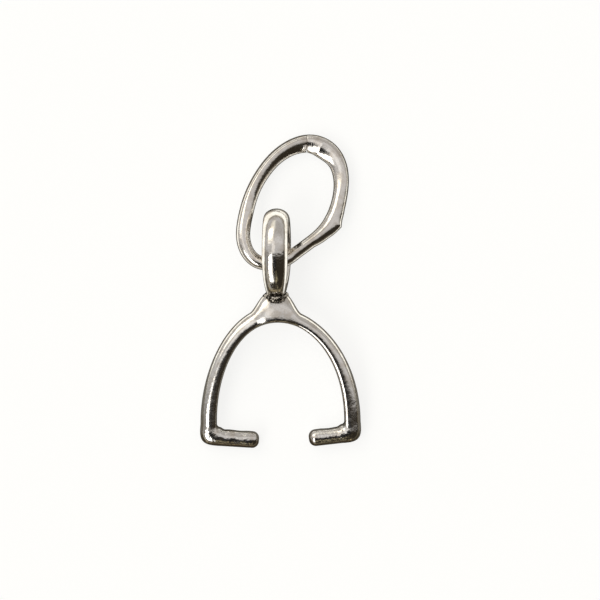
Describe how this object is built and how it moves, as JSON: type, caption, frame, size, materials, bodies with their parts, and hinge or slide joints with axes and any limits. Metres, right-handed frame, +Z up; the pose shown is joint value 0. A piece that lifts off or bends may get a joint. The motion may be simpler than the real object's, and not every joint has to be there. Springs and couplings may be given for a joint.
{
  "type": "pinch bail with a loose jump ring",
  "caption": "Silver pinch bail lying flat: an arched stirrup with inward prongs, a soldered eye square to it, and an oval jump ring lying through the eye.",
  "frame": {"origin": "middle of the outline seen from above, on the floor that the part lies on", "axes": "+Z up from the floor, +Y from the prongs towards the jump ring, +X to the right as seen from above"},
  "size_m": [0.0082, 0.016, 0.0031],
  "materials": {
    "silver": "polished cast silver with a rough solder joint at the neck",
    "ring_silver": "polished drawn silver wire with plier marks"
  },
  "bodies": {
    "root": {"pinch_bail": "silver", "jump_ring": "ring_silver"}
  },
  "joints": []
}
